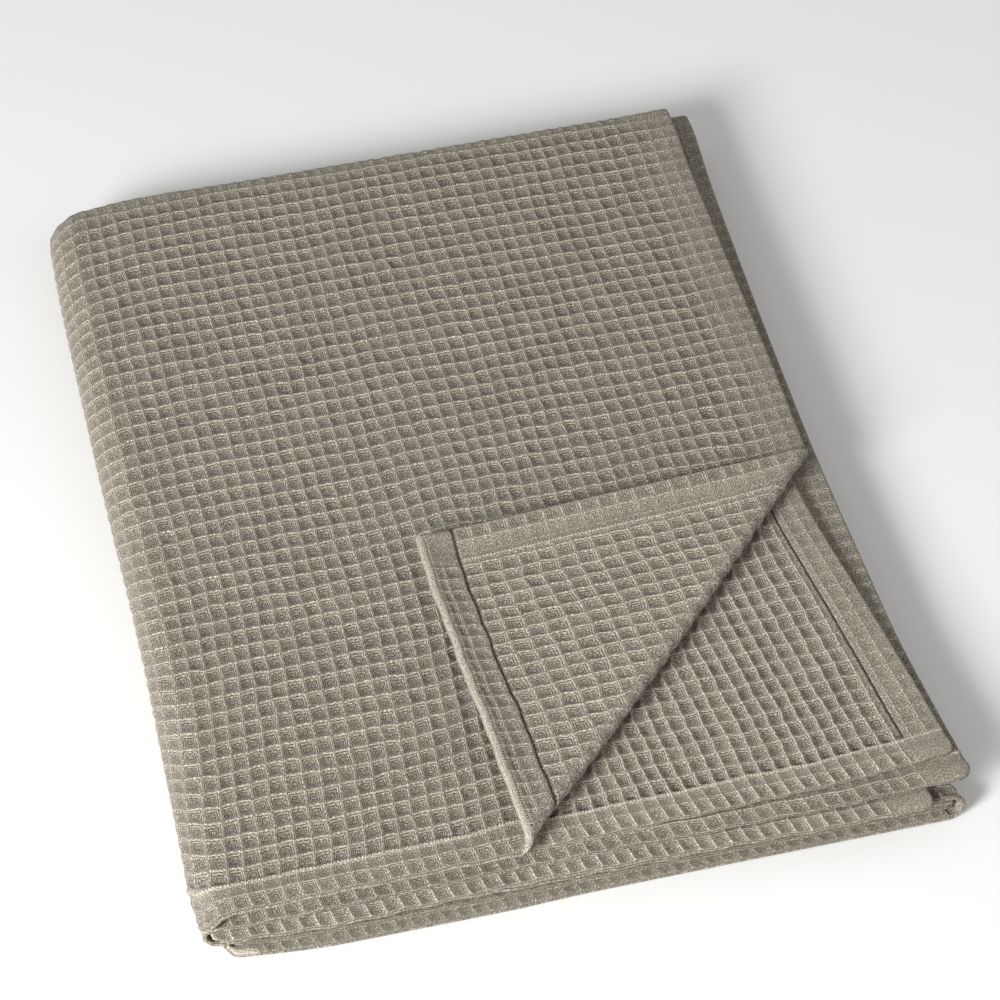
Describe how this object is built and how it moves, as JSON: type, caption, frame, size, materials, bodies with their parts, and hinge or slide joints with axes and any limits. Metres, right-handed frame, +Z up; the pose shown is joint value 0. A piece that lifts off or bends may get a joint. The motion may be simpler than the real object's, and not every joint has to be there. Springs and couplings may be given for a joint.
{
  "type": "blanket",
  "caption": "Waffle weave cotton blanket folded into a flat rectangular stack, with broad sewn hems and one top corner turned back over the stack.",
  "frame": {"origin": "on the surface that the stack lies on, under the middle of its bounding box", "axes": "+X to the right along the folded width, +Y to the back fold along the folded length, +Z up"},
  "size_m": [0.526, 0.7118, 0.0583],
  "materials": {
    "cotton": "matt grey-brown cotton in a raised square waffle weave"
  },
  "bodies": {
    "root": {"blanket": "cotton"}
  },
  "joints": []
}
